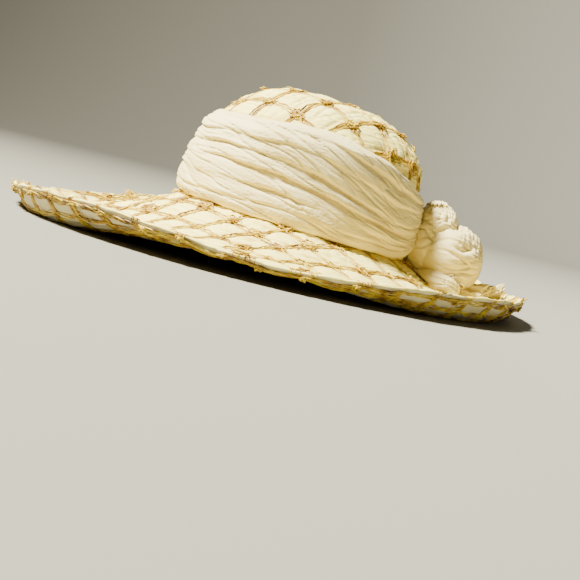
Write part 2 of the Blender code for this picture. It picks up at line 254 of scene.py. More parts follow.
# Helpers.


def grid(rows, columns):
    return np.meshgrid(rows, columns, indexing="ij")


def together(*parts):
    """Coordinates as one array of points."""
    return np.stack(np.broadcast_arrays(*parts), axis=-1)


def unit(ways):
    """The same ways, 1 long."""
    return ways / np.maximum(np.linalg.norm(ways, axis=-1, keepdims=True), 1e-12)


def named_curve(columns, rows, name, angle):
    """A column's value at any angle: a cubic between evenly spaced rows, whose slope at a row is half the
    difference of its two neighbours."""
    values = np.array([row[columns.index(name)] for row in rows])
    place = np.asarray(angle, float) % 360.0 / (360.0 / len(rows))
    row = np.floor(place).astype(int)
    part = place - row
    before, here, after, beyond = (values[(row + k) % len(rows)] for k in (-1, 0, 1, 2))
    slope_here = (after - before) / 2
    slope_after = (beyond - here) / 2
    return (
        here * (1 + 2 * part) * (1 - part) ** 2
        + slope_here * part * (1 - part) ** 2
        + after * part**2 * (3 - 2 * part)
        - slope_after * part**2 * (1 - part)
    )


def brim_value(name, angle):
    return named_curve(BRIM_COLUMNS, BRIM_SECTIONS, name, angle)


def scarf_value(name, angle):
    return named_curve(SCARF_COLUMNS, SCARF_SECTIONS, name, angle)


def smooth_step(low, high, value):
    """0 below low, 1 above high and 3t^2 - 2t^3 between."""
    part = np.clip((value - low) / (high - low), 0, 1)
    return part * part * (3 - 2 * part)


def soft_noise(u, v, seed, period=NOISE_SIDE):
    """Smooth noise from about -1 to 1. Each whole place of u and v has a random slope, and the four slopes
    round a point are blended by t^3 (6t^2 - 15t + 10). It repeats in u after the period."""
    slopes = np.random.default_rng(seed).uniform(0, 2 * math.pi, (NOISE_SIDE, NOISE_SIDE))
    u, v = np.broadcast_arrays(np.asarray(u, float), np.asarray(v, float))
    whole_u, whole_v = np.floor(u).astype(int), np.floor(v).astype(int)
    part_u, part_v = u - whole_u, v - whole_v
    blend_u, blend_v = (t**3 * (6 * t * t - 15 * t + 10) for t in (part_u, part_v))
    total = 0.0
    for i in (0, 1):
        for j in (0, 1):
            slope = slopes[(whole_u + i) % period % NOISE_SIDE, (whole_v + j) % NOISE_SIDE]
            height = np.cos(slope) * (part_u - i) + np.sin(slope) * (part_v - j)
            total = total + height * (blend_u if i else 1 - blend_u) * (blend_v if j else 1 - blend_v)
    return 1.5 * total


def overlapped(place, sharp=0.07, soft=0.33):
    """1 deep at each whole place, where one fold's edge lies over the next: it rises at once above it,
    exp(-p / sharp), and slowly below it, exp(-(1 - p) / soft)."""
    part = place - np.floor(place)
    return np.maximum(np.exp(-part / sharp), np.exp(-(1 - part) / soft))


def creases(u, v, seed, period=NOISE_SIDE, width=0.35):
    """Sharp lines, 1 deep along the zero lines of soft noise, that die away on both sides within the
    width."""
    return np.maximum(1 - np.abs(soft_noise(u, v, seed, period)) / width, 0) ** 1.6


def grid_faces(shape, uv, close_rows, close_columns):
    """The quads of a grid of points, by the points' numbers, and the UVs of their corners. uv has one more
    row or column where the grid closes."""
    rows, columns = shape
    row = np.arange(rows if close_rows else rows - 1)[:, None]
    column = np.arange(columns if close_columns else columns - 1)[None, :]
    corners = ((0, 0), (1, 0), (1, 1), (0, 1))
    quads = [(row + i) % rows * columns + (column + j) % columns for i, j in corners]
    corner_uv = [uv[row + i, column + j] for i, j in corners]
    return np.stack(quads, axis=-1).reshape(-1, 4), np.stack(corner_uv, axis=-2).reshape(-1, 4, 2)


def surface_mesh(name, points, uv, around=True, closed_section=False):
    """A mesh from a grid of points, rows round the hat and columns along the section, with its faces
    pointing away from its middle."""
    quads, corner_uv = grid_faces(points.shape[:2], uv, around, closed_section)
    vertices = points.reshape(-1, 3)
    a, b, c, d = (vertices[quads[:, k]] for k in range(4))
    if np.einsum("ij,ij->", (a + c) / 2 - vertices.mean(0), np.cross(c - a, d - b)) < 0:
        quads, corner_uv = quads[:, ::-1], corner_uv[:, ::-1]
    return mesh_from_quads(name, vertices, quads, corner_uv)


def mesh_from_quads(name, vertices, quads, corner_uv):
    mesh = bpy.data.meshes.new(name)
    mesh.vertices.add(len(vertices))
    mesh.vertices.foreach_set("co", vertices.astype(np.float32).ravel())
    mesh.loops.add(quads.size)
    mesh.loops.foreach_set("vertex_index", quads.astype(np.int32).ravel())
    mesh.polygons.add(len(quads))
    mesh.polygons.foreach_set("loop_start", np.arange(0, quads.size, 4, dtype=np.int32))
    mesh.update(calc_edges=True)
    layer = mesh.uv_layers.new(name="cloth")
    layer.data.foreach_set("uv", corner_uv.astype(np.float32).ravel())
    mesh.validate()
    mesh.shade_smooth()
    return mesh


def weld(mesh, distance=1e-6):
    """Merges points that meet at poles, seams and strand ends, and points every face outwards."""
    shape = bmesh.new()
    shape.from_mesh(mesh)
    bmesh.ops.remove_doubles(shape, verts=shape.verts, dist=distance)
    bmesh.ops.recalc_face_normals(shape, faces=shape.faces)
    shape.to_mesh(mesh)
    shape.free()


def give_attribute(mesh, name, values):
    """A value at each point, which a material reads."""
    layer = mesh.attributes.new(name, "FLOAT", "POINT")
    layer.data.foreach_set("value", values.astype(np.float32).ravel())


def add_piece(mesh, material, slot, *replaced):
    """Puts a finished mesh on the hat's one body, under the mesh's own name."""
    mesh.materials.append(material)
    piece = bpy.data.objects.new(mesh.name, mesh)
    bpy.context.scene.collection.objects.link(piece)
    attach(piece, "root")
    if replaced:
        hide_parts(*replaced)
    return piece


# Trellis.


def trellis_place(x, y):
    """Place in the trellis: two diagonal coordinates that are whole pitches on its bars, slightly warped."""
    x = x - TRELLIS_CORNER[0] + TRELLIS_WARP * np.sin(31 * y + 1.0)
    y = y - TRELLIS_CORNER[1] + TRELLIS_WARP * np.sin(37 * x + 2.0)
    return (x + y) / math.sqrt(2), (x - y) / math.sqrt(2)


def trellis_plan(p, q):
    """The plan place of two trellis coordinates, which undoes trellis_place."""
    x, y = (p + q) / math.sqrt(2), (p - q) / math.sqrt(2)
    y = y + TRELLIS_CORNER[1] - TRELLIS_WARP * np.sin(37 * x + 2.0)
    return x + TRELLIS_CORNER[0] - TRELLIS_WARP * np.sin(31 * y + 1.0), y


def half_wave(place):
    """0 at each bar of the trellis and 1 midway between two."""
    return np.abs(np.sin(math.pi * place / TRELLIS_PITCH))


def cell_puff(p, q):
    """How far the cloth puffs out of its trellis cell: the root of the product of two half waves across
    it."""
    return (half_wave(p) * half_wave(q)) ** 0.5


def painted_raffia_shade(p, q):
    """Patches of painted shadow and golden reflection of the raffia on the cloth, about 0.4 on the trellis's
    bars and 1 at its knots, that fall away beside them like exp(-(d / width)^2)."""
    to_p, to_q = (np.abs((t / TRELLIS_PITCH + 0.5) % 1.0 - 0.5) * TRELLIS_PITCH for t in (p, q))
    along_bar = 0.40 * np.exp(-((np.minimum(to_p, to_q) / BAR_SHADE_WIDTH) ** 2))
    at_knot = np.exp(-((np.hypot(to_p, to_q) / KNOT_SHADE_WIDTH) ** 2))
    patches = 0.75 + 0.6 * soft_noise(p * 190, q * 190, 83)
    return np.clip((along_bar + at_knot) * patches, 0, 1)


# Brim.


def brim_plan(angle, outwards):
    """Plan place: the straight way from the crown's inner oval to the rim's oval."""
    a = np.radians(angle)
    inner_x = CROWN_FORWARD + CROWN_INSIDE[0] * np.cos(a)
    inner_y = CROWN_INSIDE[1] * np.sin(a)
    reach = brim_value("rim_reach", angle)
    outer_x = BRIM_LENGTH / 2 * reach * np.cos(a)
    outer_y = BRIM_WIDTH / 2 * reach * np.sin(a)
    return inner_x + (outer_x - inner_x) * outwards, inner_y + (outer_y - inner_y) * outwards


def brim_place(x, y):
    """Angle and share outwards of a plan place: halves the share until the oval through it fits."""
    low, high = np.zeros_like(x), np.full_like(x, 1.1)
    for _ in range(BRIM_HALVINGS):
        middle = (low + high) / 2
        half_x = (1 - middle) * CROWN_INSIDE[0] + middle * BRIM_LENGTH / 2
        half_y = (1 - middle) * CROWN_INSIDE[1] + middle * BRIM_WIDTH / 2
        along, across = (x - CROWN_FORWARD * (1 - middle)) / half_x, y / half_y
        outside = along**2 + across**2 > 1
        low, high = np.where(outside, middle, low), np.where(outside, high, middle)
    return np.degrees(np.arctan2(across, along)), (low + high) / 2


def brim_underside(angle, outwards):
    """Height: from the seat it falls by (1 - t)^1.6 to the dip, then rises by t^1.8 to the rim; never below
    0."""
    seat, dip, rim = (brim_value(name, angle) for name in ("crown_seat", "dip", "rim"))
    place = brim_value("dip_place", angle)
    falling = np.clip((outwards - BRIM_SEAT) / (place - BRIM_SEAT), 0, 1)
    rising = np.clip((outwards - place) / (1 - place), 0, 1)
    height = dip + (seat - dip) * (1 - falling) ** BRIM_FALL_POWER
    return np.maximum(height + (rim - dip) * rising**BRIM_TURN_UP_POWER, 0.0)


def rim_wave(angle):
    """The rim's edge wanders up and down a little between the trellis's bars."""
    a = angle / 360.0
    return 0.0011 * soft_noise(40 * a, 0.5, 91, 40) + 0.0006 * soft_noise(62 * a, 0.5, 92, 62)


def brim_puff(p, q, outwards, face):
    """The cells' puff on a face of the brim. The cloth is drawn flatter along the rim and underneath."""
    drawn = 1 - 0.5 * smooth_step(0.92, 1.0, outwards)
    return CELL_PUFF * cell_puff(p, q) * drawn * np.where(face > 0, 1.0, PUFF_BELOW)


def brim_creases(angle, outwards, seed):
    """Long tucks that run round the brim, in two sizes."""
    total = 0.0
    for depth, times, along, number, width in BRIM_CREASES:
        total = total + depth * creases(times * angle / 360.0, along * outwards, seed + number, times, width)
    return total


def brim_cloth_face(angle, outwards, puff, face):
    """Height of the brim's cloth: the middle of its wall with the rim's wave, and half the wall and the puff
    to the face, which is 1 on top, -1 underneath and between them round the rim."""
    middle = brim_underside(angle, outwards) + BRIM_WALL / 2
    middle = middle + rim_wave(angle) * smooth_step(RIM_STARTS, 1.0, outwards)
    return np.maximum(middle + face * (BRIM_WALL / 2 - CLOTH_SINK + puff), CLOTH_LOWEST)


def brim_cloth_height(x, y, face):
    """Height of the brim's cloth at a plan place, without its creases."""
    angle, outwards = brim_place(x, y)
    puff = brim_puff(*trellis_place(x, y), outwards, face)
    return brim_cloth_face(angle, outwards, puff, face)


def brim_way_out(x, y, face):
    """The way out of the brim's cloth, from its two slopes over a few millimetres."""
    step = np.array([-0.004, 0.004])
    across = brim_cloth_height(x + step, y + 0 * step, face)
    along = brim_cloth_height(x + 0 * step, y + step, face)
    slope_x, slope_y = (np.diff(height)[0] / np.diff(step)[0] for height in (across, along))
    return face * unit(np.array([-slope_x, -slope_y, 1.0]))


def make_brim_cloth(material):
    """The brim's section runs out over the puffed top, round the rim in a half circle and back
    underneath."""
    angle = np.arange(520) * 360.0 / 520
    top = np.linspace(0, 1, 96)
    below = 1 - np.linspace(0, 1, 66) ** 1.25
    bend = np.linspace(0, math.pi, 9)[1:-1]
    outwards = np.concatenate([top, np.ones(len(bend)), below])
    face = np.concatenate([np.ones(len(top)), np.cos(bend), -np.ones(len(below))])
    swell = np.concatenate([np.zeros(len(top)), np.sin(bend), np.zeros(len(below))])
    angle_grid, outwards_grid = grid(angle, outwards)
    x, y = brim_plan(angle_grid, outwards_grid)
    p, q = trellis_place(x, y)
    above, underneath = (brim_creases(angle_grid, outwards_grid, seed) for seed in (31, 33))
    cut = np.where(face > 0, above, underneath) * cell_puff(p, q)
    puff = brim_puff(p, q, outwards_grid, face) - cut
    z = brim_cloth_face(angle_grid, outwards_grid, puff, face)
    a = np.radians(angle_grid)
    x = x + np.cos(a) * swell * (CLOTH_SINK + puff)
    y = y + np.sin(a) * swell * (CLOTH_SINK + puff)
    steps = 0.13 * np.abs(np.diff(outwards)) + 0.0006 * (np.diff(face) != 0)
    way = np.cumsum(np.concatenate([[0.0], steps, [0.004]]))
    uv = together(*grid(np.append(angle, 360.0) / 360.0 * 1.1, way))
    mesh = surface_mesh("brim_cloth", together(x, y, z), uv, closed_section=True)
    # Painted shadow and golden reflection of the raffia, read by the cloth's material.
    give_attribute(mesh, "painted_raffia_shade", painted_raffia_shade(p, q))
    # Marks the brim's underside for its painted shade.
    give_attribute(mesh, "painted_underside_shade", np.broadcast_to(face <= 0, p.shape))
    return add_piece(mesh, material, "raffia_and_cream_cloth", "brim")


# Crown.


def crown_foot_height(angle):
    return brim_value("crown_seat", angle) + BRIM_WALL + GAP


def dome_height(angle, away, inset=0.0):
    """Height: the shoulder and the rise times 1 - r^n, less a swell r(1 - r^2) that moves the top
    backwards."""
    front = np.cos(np.radians(angle))
    swell = CROWN_BACKWARD_SWELL * away * (1 - away**2) * front
    power = CROWN_DOME_POWER + CROWN_DOME_POWER_CHANGE * front
    rise = CROWN_HEIGHT - CROWN_SHOULDER_HEIGHT - inset / 2
    return CROWN_SHOULDER_HEIGHT - inset / 2 + rise * (1 - away**power) - swell


def crown_point(angle, up, inset):
    """The crown's wall (up 0 to 1, a straight cone) and dome (up 1 to 2), inset from its outside, with a
    soft dent at the shoulder that dies away like exp(-d^2)."""
    a = np.radians(angle)
    on_wall = np.clip(up, 0, 1)
    away = np.clip(2 - up, 0, 1)
    half_x, half_y = (low + (high - low) * on_wall for low, high in zip(CROWN_FOOT, CROWN_SHOULDER))
    foot = crown_foot_height(angle)
    wall_height = foot + (CROWN_SHOULDER_HEIGHT - inset / 2 - foot) * on_wall
    height = np.where(up <= 1, wall_height, dome_height(angle, away, inset))
    from_dent = (angle - CROWN_DENT_ANGLE + 180) % 360 - 180
    dent = CROWN_DENT * np.exp(-(((up - 1.05) / 0.25) ** 2) - (from_dent / 16.0) ** 2)
    x = CROWN_FORWARD + (half_x - inset - dent) * away * np.cos(a)
    return together(x, (half_y - inset - dent) * away * np.sin(a), height)


def crown_outline(angle, height):
    """Half sizes of the crown's outside at a height: the cone, or the dome's height undone by halving."""
    foot = crown_foot_height(angle)
    up = np.clip((height - foot) / (CROWN_SHOULDER_HEIGHT - foot), 0, 1)
    low, high = np.full_like(height, 0.2), np.ones_like(height)
    for _ in range(CROWN_HALVINGS):
        middle = (low + high) / 2
        above = dome_height(angle, middle) > height
        low, high = np.where(above, middle, low), np.where(above, high, middle)
    away = np.where(height > CROWN_SHOULDER_HEIGHT, high, 1.0)
    return tuple((CROWN_FOOT[k] + (CROWN_SHOULDER[k] - CROWN_FOOT[k]) * up) * away for k in (0, 1))


def crown_way(up):
    """The way over the cloth from the crown's top: along the dome's mean profile, then down the wall."""
    on_dome = np.interp(2 - up, DOME_AWAY, DOME_WAY)
    return np.where(up > 1, on_dome, DOME_WAY[-1] + (1 - up) * CROWN_WALL_WAY)


def crown_up(way):
    """Undoes crown_way."""
    on_dome = 2 - np.interp(way, DOME_WAY, DOME_AWAY)
    return np.where(way < DOME_WAY[-1], on_dome, 1 - (way - DOME_WAY[-1]) / CROWN_WALL_WAY)


def crown_trellis_place(angle, up):
    """Place in the trellis of a place on the crown, as if its cloth were laid out flat from the top."""
    way = crown_way(up)
    a = np.radians(angle)
    return trellis_place(way * np.cos(a) + CROWN_TRELLIS_FORWARD, way * np.sin(a) * CROWN_TRELLIS_WIDTH)


def crown_from_trellis(p, q):
    """Angle and up on the crown of trellis coordinates, which undoes crown_trellis_place."""
    x, y = trellis_plan(p, q)
    x, y = x - CROWN_TRELLIS_FORWARD, y / CROWN_TRELLIS_WIDTH
    return np.degrees(np.arctan2(y, x)), crown_up(np.hypot(x, y))


def crown_cloth_point(angle, up, lift=0.0):
    """The crown's outside with its puffed and creased cells, flatter under the scarf; a lift moves it out
    along the dome's or the wall's way out."""
    p, q = crown_trellis_place(angle, up)
    x, y, height = np.moveaxis(crown_point(angle, up, 0.0), -1, 0)
    shown = smooth_step(-0.010, 0.002, height - scarf_value("upper", angle))
    puff = cell_puff(p, q) * (0.25 + 0.75 * shown)
    cut = 0.0022 * (creases(p * 16, q * 75, 61, width=0.22) + creases(q * 16, p * 75, 62, width=0.22))
    cut = cut * (1 + 0.8 * soft_noise(p * 25, q * 25, 64))
    cut = cut + 0.0005 * creases(q * 130, crown_way(up) * 90, 63)
    out = (CELL_PUFF - cut) * puff + lift - CLOTH_SINK
    steep = smooth_step(1.35, 1.0, up)
    a = np.radians(angle)
    sideways = out * steep
    rise = out * (1 - 0.75 * steep)
    return together(x + sideways * np.cos(a), y + sideways * np.sin(a), height + rise)


def make_crown_cloth(material):
    """The crown's section runs down the puffed outside from the top, across the foot and up the plain
    inside."""
    angle = np.arange(360) * 360.0 / 360
    outside = np.concatenate([np.linspace(2, 1, 96), np.linspace(1, 0, 46)[1:]])
    inside = np.concatenate([np.linspace(0, 1, 14), np.linspace(1, 2, 24)[1:]])
    out_grid, in_grid = grid(angle, outside), grid(angle, inside)
    points = np.concatenate([crown_cloth_point(*out_grid), crown_point(*in_grid, CROWN_WALL)], axis=1)
    # Painted shadow and golden reflection of the raffia, read by the cloth's material.
    shade = painted_raffia_shade(*crown_trellis_place(*out_grid))
    shade = np.concatenate([shade, np.zeros(in_grid[0].shape)], axis=1)
    way = np.concatenate([crown_way(outside), 0.30 - crown_way(inside)])
    mesh = surface_mesh("crown_cloth", points, together(*grid(np.append(angle, 360.0) / 360.0 * 0.6, way)))
    give_attribute(mesh, "painted_raffia_shade", shade)
    weld(mesh)
    return add_piece(mesh, material, "cream_cloth", "crown")


# Scarf.


def fold_count(angle, share):
    """How many folds lie below a place: each valley adds one, and it grows evenly between two valleys. They
    are the same on both sides and run straight between the table's angles."""
    from_back = np.abs(np.asarray(angle) % 360.0 - 180)
    valleys = [np.interp(from_back, FOLD_PLACES, valley[:5]) for valley in FOLD_VALLEYS]
    lines = [np.zeros_like(share), *valleys, np.ones_like(share)]
    return sum(np.clip((share - low) / (high - low), 0, 1) for low, high in zip(lines, lines[1:]))


def scarf_thickness(angle, share):
    """The scarf's depth over the crown: a bulge (1 - s^6)^0.5 with its edges held in, less the steps where
    each main fold's edge lies over the next one, less long creases of three sizes that run nearly along the
    folds."""
    a = angle / 360.0
    folds = fold_count(angle, share)
    at_back = np.exp(-(((angle % 360 - 180) / 45.0) ** 2))
    at_front = np.exp(-((((angle + 180) % 360 - 180) / 22.0) ** 2))
    bulge = scarf_value("bulge", angle) * (1 - np.abs(2 * share - 1) ** 6) ** 0.5
    bulge = bulge * (1 - 0.6 * at_back * smooth_step(0.35, 0.95, share))
    bent = folds + 0.42 * soft_noise(5 * a, folds * 0.7, 3, 5) + 0.07 * soft_noise(17 * a, folds * 1.3, 4, 17)
    depths = [0.0, *(valley[5] for valley in FOLD_VALLEYS), 0.0]
    uneven = np.clip(1.0 + 1.9 * soft_noise(6 * a, folds * 0.8, 6, 6), 0.05, 2.4)
    drawn = np.interp(folds, np.arange(len(depths)), depths) * uneven * overlapped(bent)
    slant = 5.0 * np.cos(2 * math.pi * a)
    for depth, times, over_fold, slanting, seed, width in SCARF_CREASES:
        drawn = drawn + depth * creases(times * a, over_fold * bent + slanting * slant, seed, times, width)
    swell = 0.0016 * soft_noise(8 * a, 0.8 * bent + 0.5 * slant, 13, 8)
    held = smooth_step(0.0, 0.06, share) * smooth_step(1.0, 0.94, share)
    within = held * (1 - 0.35 * at_back - 0.5 * at_front)
    return np.maximum(bulge + within * (swell - drawn), 0.0) + SCARF_EDGE


def scarf_edges(angle):
    return crown_foot_height(angle) + scarf_value("lower_lift", angle), scarf_value("upper", angle)


def scarf_band_points(angle, share, thickness):
    lower, upper = scarf_edges(angle)
    lower = lower + 0.0010 * soft_noise(angle / 15.0, 0.5, 17, 24)
    upper = upper + 0.0016 * soft_noise(angle / 12.0, 0.5, 19, 30)
    height = lower + (upper - lower) * share
    half_x, half_y = crown_outline(angle, height)
    out = SCARF_CLEARANCE + thickness
    a = np.radians(angle)
    return together(CROWN_FORWARD + (half_x + out) * np.cos(a), (half_y + out) * np.sin(a), height)


def make_scarf_band(material):
    """The band's section runs up the folded outer face and down the inner face, closed round the hat."""
    angle = np.arange(700) * 360.0 / 700
    outer, inner = np.linspace(0, 1, 104), np.linspace(1, 0, 8)
    outer_grid, inner_grid = grid(angle, outer), grid(angle, inner)
    outer_face = scarf_band_points(*outer_grid, scarf_thickness(*outer_grid))
    points = np.concatenate([outer_face, scarf_band_points(*inner_grid, 0.0)], axis=1)
    way = np.concatenate([outer, 1 + (1 - inner), [2.0]])
    uv = together(*grid(np.append(angle, 360.0) / 360.0 * SCARF_FLAT[0], way * 0.09))
    mesh = surface_mesh("scarf_band_cloth", points, uv, closed_section=True)
    weld(mesh)
    return add_piece(mesh, material, "ivory_scarf", "scarf_band")


def clear_of_hat(points, gap=GAP):
    """Moves points off the scarf band, out along the oval through them, and up off the brim."""
    x, y, z = np.moveaxis(points, -1, 0)
    half_x, half_y = crown_outline(np.zeros_like(z), z)
    angle = np.degrees(np.arctan2(y * half_x, (x - CROWN_FORWARD) * half_y))
    lower, upper = scarf_edges(angle)
    share = np.clip((z - lower) / (upper - lower), 0, 1)
    room = SCARF_CLEARANCE + scarf_thickness(angle, share) + gap
    reach = np.hypot((x - CROWN_FORWARD) / (half_x + room), y / (half_y + room))
    grow = np.where(reach < 1, 1 / np.maximum(reach, 1e-3), 1.0)
    x, y = CROWN_FORWARD + (x - CROWN_FORWARD) * grow, y * grow
    floor = brim_cloth_height(x, y, 1.0) + 2 * STRAND_RADIUS + gap
    return together(x, y, np.maximum(z, floor))


def puff_points(puff, turn, along):
    """A puff: folds run along it and fan out from its tied end. Its radius is (1 - s^2)^0.5 towards the tie
    and (1 - |s|^2.4)^0.5 towards its outer end, with soft swellings, less steps where a fold lies over the
    next, less creases, the finer ones growing towards the outer end and short streaks on its upper side."""
    x, y, z, half_x, half_y, half_z, pleats, pleat_depth, lean = puff
    cross = np.maximum(1 - np.abs(along) ** np.where(along < 0, 2.0, 2.4), 0) ** 0.5
    seed = int(x * 1e4)
    around = turn / (2 * math.pi)
    bent = around * pleats + 0.6 * soft_noise(around * 7, along * 1.2, seed, 7)
    strength = 0.8 + 0.8 * soft_noise(around * 9, along * 1.1, seed + 5, 9)
    valleys = 1.5 * pleat_depth * strength * overlapped(bent, 0.09, 0.38)
    outer = smooth_step(-0.5, 0.8, along)
    upper = smooth_step(-0.1, 0.4, along) * smooth_step(0.0, 0.6, np.sin(turn))
    for (depth, times, rows, number, width), where in zip(PUFF_CREASES, (1.0, outer, outer, upper)):
        valleys = valleys + depth * where * creases(around * times, along * rows, seed + number, times, width)
    valleys = valleys - 0.0020 * soft_noise(around * 4, along * 1.6, seed + 4, 4)
    pleat = (0.99 + 0.10 * along) * (1 - valleys / half_y * (0.35 + 0.65 * smooth_step(-1.0, 0.4, along)))
    tilt = math.radians(lean)
    side, rise = cross * np.cos(turn) * pleat, cross * np.sin(turn) * pleat
    out = along * half_x * math.cos(tilt) - rise * half_z * math.sin(tilt)
    up = along * half_x * math.sin(tilt) + rise * half_z * math.cos(tilt)
    return together(x + out, y + side * half_y, z + up)


def make_puff(number, puff, material):
    turn = np.arange(200) * 2 * math.pi / 200
    along = np.sin(np.linspace(-math.pi / 2, math.pi / 2, 86))
    points = clear_of_hat(puff_points(puff, *grid(turn, along)))
    turn_way, along_way = grid(np.append(turn, 2 * math.pi) * 0.026, along * 0.03)
    mesh = surface_mesh(f"scarf_puff_{number}", points, together(along_way, turn_way))
    weld(mesh, 2e-5)
    return add_piece(mesh, material, "ivory_scarf", "scarf_bow")


def thin_sheet(name, points, uv, thickness):
    """A closed thin sheet: the grid's face moved by half the thickness both ways along its own normals, and
    joined round the edge."""
    half_wall = thickness / 2 * unit(np.cross(np.gradient(points, axis=0), np.gradient(points, axis=1)))
    section = np.concatenate([points + half_wall, (points - half_wall)[:, ::-1]], axis=1)
    wrapped_uv = np.concatenate([uv, uv[:, ::-1], uv[:, :1]], axis=1)
    ends = (section[k : k + 1, : points.shape[1]] for k in (0, len(section) - 1))
    first, last = (np.concatenate([end, end[:, ::-1]], axis=1) for end in ends)
    section = np.concatenate([first, section, last])
    wrapped_uv = np.concatenate([wrapped_uv[:1], wrapped_uv, wrapped_uv[-1:]])
    mesh = surface_mesh(name, section, wrapped_uv, around=False, closed_section=True)
    weld(mesh)
    return mesh


def make_frill(name, number, alongs, turns, lift, waves, seed, material):
    """A frill that hangs over a puff from the first turn down to the second, with pleats down it: a sine
    wave along the puff that lifts it off the puff's surface, more towards its ragged free edge."""
    puff = PUFFS[number]
    t = np.linspace(0, 1, 220)[:, None]
    h = np.linspace(0, 1, 12)[None, :]
    phase = waves * t + 0.40 * soft_noise(waves * 0.5 * t, 0.3 * h, seed)
    wave = np.sin(2 * math.pi * phase) + 0.3 * np.sin(2 * math.pi * 2.0 * phase + 1.0)
    fade = np.clip(np.minimum(t, 1 - t) / 0.12, 0.04, 1.0) ** 0.5
    fall = h * fade * (0.80 + 0.30 * soft_noise(waves * 0.9 * t, 0.5, seed + 1))
    turn = turns[0] + (turns[1] - turns[0]) * fall
    along = alongs[0] + (alongs[1] - alongs[0]) * t + 0.03 * wave * h
    shape = puff_points(puff, turn, np.clip(along, -0.98, 0.98))
    centre = np.array(puff[:3])
    reach = np.linalg.norm(shape - centre, axis=-1)
    out = 0.0008 + lift * fade * (0.5 * h**0.5 + 0.45 * h**0.7 * wave)
    points = centre + (shape - centre) * (1 + np.maximum(out, 0.0006) / reach)[..., None]
    points = clear_of_hat(points, 0.0010)
    mesh = thin_sheet(name, points, together(h * 0.02, t * 0.06), FRILL_THICKNESS)
    return add_piece(mesh, material, "ivory_scarf", "scarf_bow")


def make_tail(material):
    """The free end: a strip over the brim whose outer part lifts in ruffles that grow with the distance from
    its gathered edge."""
    start, end = np.array(TAIL_START), np.array(TAIL_END)
    along_way = (end - start) / np.linalg.norm(end - start)
    out_way = np.array([along_way[1], -along_way[0]])
    t = np.linspace(0, 1, 240)[:, None]
    across = np.linspace(0, 1, 40)[None, :]
    phase = TAIL_RUFFLES * t + 0.6 * soft_noise(TAIL_RUFFLES * 0.5 * t, across * 0.6, 23)
    wave = np.sin(2 * math.pi * phase)
    second = np.sin(2 * math.pi * 2.3 * phase + 0.7)
    width = TAIL_WIDTH * (1 + 0.05 * second)
    sideways = 0.0036 * across**2 * np.cos(2 * math.pi * phase)
    x, y = (
        start[k] + (end - start)[k] * t + out_way[k] * width * (across - 0.5) + along_way[k] * sideways
        for k in (0, 1)
    )
    ends = np.clip(np.minimum(t / 0.15, (1 - t) / 0.20), 0, 1) ** 0.5
    ruffle = TAIL_RUFFLE * ends * across**0.8 * (0.68 + 0.18 * wave) + 0.0016 * across**0.5 * second
    ruffle = ruffle - 0.0012 * creases(t * 40, across * 2.5, 29)
    z = brim_cloth_height(x, y, 1.0) + 2 * STRAND_RADIUS + 0.0006 + np.maximum(ruffle, 0)
    uv = together(across * TAIL_WIDTH, t * 0.10)
    mesh = thin_sheet("scarf_tail", together(x, y, z), uv, TAIL_THICKNESS)
    return add_piece(mesh, material, "ivory_scarf", "scarf_bow")


# Raffia.


def tube(path, out, radius, sides=STRAND_SIDES, closed=False):
    """A round profile carried along a path: each ring is r cos(w) times the side way and r sin(w) times the
    out way. The path is a loop, or its end rings are drawn to a point. Returns points, quads and UVs."""
    ahead = unit(np.roll(path, -1, 0) - np.roll(path, 1, 0) if closed else np.gradient(path, axis=0))
    side = unit(np.cross(ahead, out))
    rise = np.cross(side, ahead)
    turn = np.arange(sides) * 2 * math.pi / sides
    size = np.full(len(path), radius)
    if not closed:
        size[[0, -1]] = 1e-8
    ring = side[:, None] * np.cos(turn)[:, None] + rise[:, None] * np.sin(turn)[:, None]
    points = path[:, None] + ring * size[:, None, None]
    way = np.append(0.0, np.cumsum(np.linalg.norm(np.diff(path, axis=0), axis=1)))
    if closed:
        way = np.arange(len(path) + 1) * LOOP_UV
    uv = together(*grid(way, np.arange(sides + 1) * (0.0 if closed else SIDE_UV)))
    quads, corner_uv = grid_faces(points.shape[:2], uv, closed, True)
    if closed:
        # Each step of a loop has one tone.
        corner_uv = corner_uv[:, :1].repeat(4, axis=1)
    # Each quad starts one corner on, which sets the diagonal that splits it.
    return points.reshape(-1, 3), np.roll(quads, -1, axis=1), np.roll(corner_uv, -1, axis=1)


def join_tubes(name, tubes, material):
    """One mesh of many strands. Where they reach the table they are pressed flat just above it."""
    points, quads, uv = zip(*tubes)
    first = np.cumsum([0, *(len(each) for each in points[:-1])])
    points = np.concatenate(points)
    points[:, 2] = np.maximum(points[:, 2], RAFFIA_LOWEST)
    quads = np.concatenate([each + start for each, start in zip(quads, first)])
    mesh = mesh_from_quads(name, points, quads, np.concatenate(uv))
    weld(mesh, 1e-7)
    return add_piece(mesh, material, "raffia_and_cream_cloth")


def runs(kept):
    """Each stretch of true values that is long enough for a strand, as a slice."""
    edges = np.flatnonzero(np.diff(np.concatenate([[False], kept, [False]]).astype(int)))
    return [slice(a, b) for a, b in zip(edges[::2], edges[1::2]) if b - a >= SHORTEST_STRAND]


def bundle_lines(reach, bundles=BUNDLES, wander=STRAND_WANDER):
    """Each strand of the trellis as a line of trellis coordinates, bundle by bundle in both families. A
    bundle's strands bow apart between knots by a half wave and draw together at each knot."""
    along = np.arange(-reach, reach, STRAND_STEP)
    spread = BUNDLE_SPREAD * (0.25 + 0.75 * half_wave(along) ** 0.6)
    count = int(reach / TRELLIS_PITCH)
    for family, sides in enumerate(bundles):
        for number in range(-count, count + 1):
            for side in sides:
                seed = 900 + number * 7 + int(side * 9)
                across = number * TRELLIS_PITCH + side * spread + wander * soft_noise(along * 125, 0.5, seed)
                yield (along, across) if family == 0 else (across, along)


